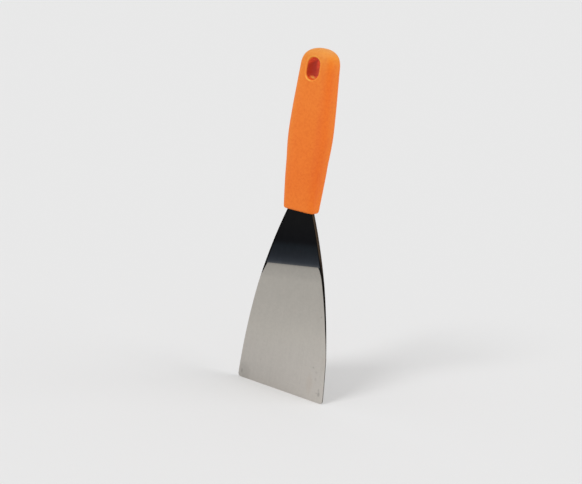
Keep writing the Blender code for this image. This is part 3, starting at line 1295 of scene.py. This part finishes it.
@dataclass
class Handle:
    """The moulded handle: a squarish section that swells and leans back, a domed top and a hanging slot."""

    bottom: float = 0.1290
    length: float = 0.1110
    width: float = 0.0316
    thickness: float = 0.0204
    stations: tuple[float, ...] = (0.0, 0.126, 0.285, 0.454, 0.623, 0.801, 1.0)
    widths: tuple[float, ...] = (0.779, 0.833, 0.920, 1.0, 0.949, 0.887, 0.810)
    thicknesses: tuple[float, ...] = (0.60, 0.76, 0.893, 0.955, 1.0, 0.919, 0.832)
    round_power: float = 2.0
    section_power: float = 3.0
    low_section_power: float = 4.6
    squared_share: float = 0.30
    lean_back: float = 0.0032
    lean_power: float = 1.55
    mouth_rise: float = 0.0018
    mouth_side_inset: float = 0.0008
    mouth_face_inset: float = 0.0028
    mouth_power: float = 6.0
    crown_width_rise: float = 0.0116
    crown_thickness_rise: float = 0.0065
    crown_power: float = 2.2
    slot_width: float = 0.0099
    slot_height: float = 0.0148
    slot_top_wall: float = 0.0062
    slot_shift: float = 0.0005
    rim_radius: float = 0.0012
    rim_lift: float = 0.05
    tang_gap: float = 0.0001
    overrun: float = 0.0040
    sides: int = 96
    body_steps: int = 64
    mouth_steps: int = 8
    crown_steps: int = 20
    slot_sides: int = 48
    rim_steps: int = 8
    ring_share: float = 0.25
    smooth_angle: float = math.radians(35)

    @property
    def top(self) -> float:
        """The height of the dome's top."""
        return self.bottom + self.length

    @property
    def slot(self) -> SlotFrame:
        """Where the hanging slot is."""
        middle = self.top - self.slot_top_wall - self.slot_height / 2
        return SlotFrame(self.slot_shift, middle, self.slot_height, self.slot_width)

    def lean(self, height: float) -> float:
        """How far the centre line has moved back at a height."""
        return self.lean_back * (max(height - self.bottom, 0) / self.length) ** self.lean_power

    def crown(self, height: float, rise: float) -> float:
        """How much of the section is left at a height inside the domed top."""
        climb = min(max(height - (self.top - rise), 0) / rise, 1)
        return (1 - climb**self.crown_power) ** (1 / self.crown_power)

    def half_sizes(self, height: float, drawn_in: float = 0.0) -> Pair:
        """Half the width and half the thickness at a height.

        Args:
            height: Where.
            drawn_in: The share of the mouth's insets that is taken off.

        Returns:
            The half-width and the half-thickness.
        """
        share = (height - self.bottom) / self.length
        half_width = self.width / 2 * smooth_table(self.stations, self.widths, share)
        half_thickness = self.thickness / 2 * smooth_table(self.stations, self.thicknesses, share)
        return (
            half_width * self.crown(height, self.crown_width_rise) - self.mouth_side_inset * drawn_in,
            half_thickness * self.crown(height, self.crown_thickness_rise) - self.mouth_face_inset * drawn_in,
        )

    def power(self, height: float) -> float:
        """The section's superellipse power at a height: squarer near the mouth."""
        share = (height - self.bottom) / self.length / self.squared_share
        return mix(self.low_section_power, self.section_power, min(max(share, 0), 1))

    @staticmethod
    def bulge(angle: float, power: float) -> float:
        """How far a superellipse of unit size reaches at an angle."""
        return (abs(math.cos(angle)) ** power + abs(math.sin(angle)) ** power) ** (-1 / power)

    @staticmethod
    def fold_angle(place: Vector, centre: Place, halves: Pair) -> float:
        """The angle of a place on a section, folded into the first eighth of a turn."""
        offsets = abs(place.x - centre[0]) / halves[0], abs(place.y - centre[1]) / halves[1]
        return math.atan2(min(offsets), max(offsets))

    def square_up(self, piece: Workpiece, height: float, halves: Pair, powers: Pair) -> None:
        """Change a section's superellipse power, eight mirrored points at a time.

        Args:
            piece: The piece being modelled.
            height: The section's height.
            halves: The section's half-width and half-thickness.
            powers: The power that it has and the power that it gets.
        """
        centre = (0.0, self.lean(height), height)
        step = 2 * math.pi / self.sides
        for index in range(self.sides // 8 + 1):
            angle = index * step
            factor = self.bulge(angle, powers[1]) / self.bulge(angle, powers[0])
            piece.pick(
                lambda place: abs(place.z - height) < NEAR
                and abs(self.fold_angle(place, centre, halves) - angle) < step / 4
            )
            piece.resize((factor, factor, 1), centre)

    def climb(self, piece: Workpiece, low: float, high: float, drawn: Pair = (0.0, 0.0)) -> None:
        """Extrude the selected section to the next height.

        Args:
            piece: The piece being modelled.
            low: The height that the section has.
            high: The height that the new section gets.
            drawn: The shares of the mouth's insets at both.
        """
        old, new = self.half_sizes(low, drawn[0]), self.half_sizes(high, drawn[1])
        piece.extrude((0, self.lean(high) - self.lean(low), high - low))
        piece.resize((new[0] / old[0], new[1] / old[1], 1), (0, self.lean(high), high))

    def outer_body(self) -> bpy.types.Object:
        """The handle's outside: a squared circle drawn up to the dome and down round the mouth's lip.

        Returns:
            The closed body.
        """
        start = self.bottom + self.mouth_rise
        halves = self.half_sizes(start)
        centre = (0, self.lean(start), start)
        piece = Workpiece(
            "scraper_handle",
            bpy.ops.mesh.primitive_circle_add,
            vertices=self.sides,
            radius=halves[0],
            location=centre,
        )
        self.square_up(piece, start, (halves[0], halves[0]), (self.round_power, self.power(start)))
        piece.pick_level(start)
        piece.resize((1, halves[1] / halves[0], 1), centre)
        crown_start = self.top - self.crown_width_rise
        heights = [mix(start, crown_start, share) for share in steps(self.body_steps)]
        climbs = quarter_turn(self.crown_steps)[1:-1]
        heights += [crown_start + self.crown_width_rise * math.sin(angle) for angle in climbs]
        for low, high in zip(heights, heights[1:]):
            piece.pick_level(low)
            self.climb(piece, low, high)
            if self.power(high) < self.power(low):
                self.square_up(piece, high, self.half_sizes(high), (self.power(low), self.power(high)))
        piece.pick_level(heights[-1])
        piece.close_tip(self.top - heights[-1])
        self.turn_in_mouth(piece, start)
        return piece.done()

    def turn_in_mouth(self, piece: Workpiece, start: float) -> None:
        """Round the lip from the handle's sides in to the mouth, and close the mouth.

        Args:
            piece: The handle being modelled.
            start: The height where the lip starts.
        """
        low, drawn, power = start, 0.0, self.power(start)
        for angle in quarter_turn(self.mouth_steps)[1:]:
            high, new_drawn = start - self.mouth_rise * math.sin(angle), 1 - math.cos(angle)
            piece.pick_level(low)
            self.climb(piece, low, high, (drawn, new_drawn))
            new_power = mix(self.power(start), self.mouth_power, new_drawn)
            self.square_up(piece, high, self.half_sizes(high, new_drawn), (power, new_power))
            low, drawn, power = high, new_drawn, new_power
        piece.pick_level(low)
        piece.cap()

    def slot_cutter(self, body: bpy.types.Object) -> bpy.types.Object:
        """The hanging slot, front to back, with a rounded rim that follows the handle's faces.

        Args:
            body: The handle that the rims follow.

        Returns:
            The cutter.
        """
        middle, rise, radius = self.slot.middle, self.slot.rise, self.slot.radius
        far = self.thickness / 2 + self.lean_back + self.overrun
        piece = Workpiece(
            "slot_cutter",
            bpy.ops.mesh.primitive_circle_add,
            vertices=self.slot_sides,
            radius=(radius + self.rim_radius) / math.cos(math.pi / self.slot_sides),
            location=(self.slot.across, -far, middle),
            rotation=(math.pi / 2, math.pi / self.slot_sides, 0),
        )
        for sign in (-1, 1):
            piece.pick(lambda place: (place.z - middle) * sign > 0)
            piece.shift((0, 0, sign * rise))
        bpy.ops.mesh.select_all(action="SELECT")
        piece.cap()
        angles = quarter_turn(self.rim_steps)
        levels = [(Side.FRONT, angle) for angle in angles]
        levels += [(Side.BACK, angle) for angle in reversed(angles)]
        gap = far * self.ring_share / self.rim_steps
        y, grown = -far, self.rim_radius
        for side, angle in levels:
            new_y = y + gap if (side is Side.FRONT or y > 0) else far - gap * (self.rim_steps + 1)
            new_grown = self.rim_radius * (1 - math.sin(angle))
            piece.pick(lambda place: abs(place.y - y) < NEAR)
            piece.extrude((0, new_y - y, 0))
            factor = (radius + new_grown) / (radius + grown)
            for sign in (-1, 1):
                piece.pick(lambda place: abs(place.y - new_y) < NEAR and (place.z - middle) * sign > 0)
                piece.resize((factor, 1, factor), (self.slot.across, new_y, middle + sign * rise))
            y, grown = new_y, new_grown
        piece.pick(lambda place: abs(place.y - y) < NEAR)
        piece.extrude((0, far - y, 0))
        piece.cap()
        cutter = piece.done()
        self.lay_rims(cutter, body, far, gap)
        return cutter

    def lay_rims(self, cutter: bpy.types.Object, body: bpy.types.Object, far: float, gap: float) -> None:
        """Project the cutter's rim rings onto the handle's faces, and sink each to its depth.

        Args:
            cutter: The slot's cutter, with its rings a gap apart near both ends.
            body: The handle.
            far: Where the cutter's ends are.
            gap: The distance between two rings.
        """
        rings: dict[tuple[Side, int], list[int]] = {}
        for vertex in cutter.data.vertices:
            level = round((far - abs(vertex.co.y)) / gap)
            if level > 0:
                side = Side.FRONT if vertex.co.y < 0 else Side.BACK
                rings.setdefault((side, level - 1), []).append(vertex.index)
        group = cutter.vertex_groups.new(name="rims")
        for members in rings.values():
            group.add(members, 1.0, "REPLACE")
        apply_modifier(
            cutter,
            "SHRINKWRAP",
            target=body,
            wrap_method="PROJECT",
            use_project_y=True,
            use_positive_direction=True,
            use_negative_direction=True,
            vertex_group=group.name,
        )
        for (side, level), members in rings.items():
            angle = quarter_turn(self.rim_steps)[level]
            depth = self.rim_radius * (1 - math.cos(angle) - self.rim_lift)
            for index in members:
                cutter.data.vertices[index].co.y -= side.value * depth

    def model(self, blade: Blade) -> bpy.types.Object:
        """Build the handle round a blade's tang and dress it.

        Args:
            blade: The blade whose tang it holds.

        Returns:
            The finished piece.
        """
        handle = self.outer_body()
        handle.data.materials.append(OrangeMoulding(self.slot, self.bottom, self.length).make())
        slot = self.slot_cutter(handle)
        subtract(handle, blade.cavity_cutter(self.tang_gap))
        subtract(handle, slot)
        clean_mesh(handle)
        make_active(handle)
        bpy.ops.object.shade_smooth_by_angle(angle=self.smooth_angle)
        return handle


# Setting


@dataclass(frozen=True)
class Lamp:
    """A soft lamp far away: the direction to it, its strength and how wide it looks from the object."""

    name: str
    towards: Place
    strength: float
    angle: float

    def hang(self) -> None:
        """Add the lamp."""
        clear_selection()
        bpy.ops.object.light_add(type="SUN", location=self.towards)
        lamp = bpy.context.active_object
        lamp.name = lamp.data.name = self.name
        lamp.rotation_euler = Vector(self.towards).to_track_quat("Z", "Y").to_euler()
        lamp.data.energy = self.strength
        lamp.data.angle = self.angle


@dataclass
class Studio:
    """The pale floor, the even sky and three soft lamps."""

    floor_size: float = 160.0
    sky: float = 0.650
    backdrop: float = 0.806
    lamps: tuple[Lamp, ...] = (
        Lamp("key_lamp", (-0.063, -0.731, 0.680), 0.95, math.radians(18)),
        Lamp("fill_lamp", (0.429, 0.053, 0.902), 0.24, math.radians(16)),
        Lamp("side_lamp", (0.785, 0.453, 0.423), 0.60, math.radians(60)),
    )

    def lay_floor(self) -> None:
        """Lay the floor, which reaches far past the picture."""
        floor = Workpiece("studio_floor", bpy.ops.mesh.primitive_plane_add, size=self.floor_size).done()
        floor.data.materials.append(PaleFloor().make())

    def raise_sky(self) -> None:
        """Light everything evenly, and show the floor's own tone where there is no floor."""
        world = bpy.data.worlds.new("studio_sky")
        world.use_nodes = True
        bpy.context.scene.world = world
        bench = NodeBench(world.node_tree)
        path = bench.node("ShaderNodeLightPath")
        seen = bench.signal(path, "Is Camera Ray")
        for kind in ("Is Glossy Ray", "Is Transmission Ray"):
            seen = seen.at_least(bench.signal(path, kind))
        strength = self.sky + (self.backdrop - self.sky) * seen
        light = bench.node("ShaderNodeBackground", None, {"Color": (1, 1, 1, 1), "Strength": strength})
        bench.node("ShaderNodeOutputWorld", None, {"Surface": light.outputs[0]})

    def build(self) -> None:
        """Set up the floor, the sky and the lamps."""
        self.lay_floor()
        self.raise_sky()
        for lamp in self.lamps:
            lamp.hang()


@dataclass
class PhotoCamera:
    """The photograph's camera, from a fit to the object's outline."""

    place: Place = (0.54841, -0.76279, 0.30797)
    right: Place = (0.78953, 0.60317, 0.11326)
    up: Place = (-0.21616, 0.10058, 0.97116)
    back: Place = (0.57439, -0.79124, 0.20979)
    picture_width: float = 582.0
    focal_pixels: float = 1400.0
    sensor_width: float = 36.0
    farthest: float = 400.0

    def build(self) -> None:
        """Add the camera and make it the scene's own."""
        clear_selection()
        bpy.ops.object.camera_add(location=self.place)
        camera = bpy.context.active_object
        camera.name = camera.data.name = "photo_camera"
        turn = Matrix((self.right, self.up, self.back)).transposed()
        camera.rotation_euler = turn.to_euler()
        camera.data.sensor_width = self.sensor_width
        camera.data.sensor_fit = "HORIZONTAL"
        camera.data.lens = self.focal_pixels / self.picture_width * self.sensor_width
        camera.data.clip_end = self.farthest
        bpy.context.scene.camera = camera


def settle(piece: bpy.types.Object, node: str) -> None:
    """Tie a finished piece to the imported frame.

    Args:
        piece: The piece.
        node: The CAD node that it stands for.
    """
    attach(piece, "root")
    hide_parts(node)
    log.info("%s stands for %s with %d faces", piece.name, node, len(piece.data.polygons))


def main() -> None:
    """Build the scraper, its setting and its camera."""
    logging.basicConfig(level=logging.INFO, format="%(message)s")
    PhotoCamera().build()
    blade = Blade()
    settle(blade.model(), "blade")
    settle(Handle().model(blade), "handle")
    Studio().build()
    bpy.context.scene.view_settings.view_transform = "Standard"


if __name__ == "__main__":
    main()
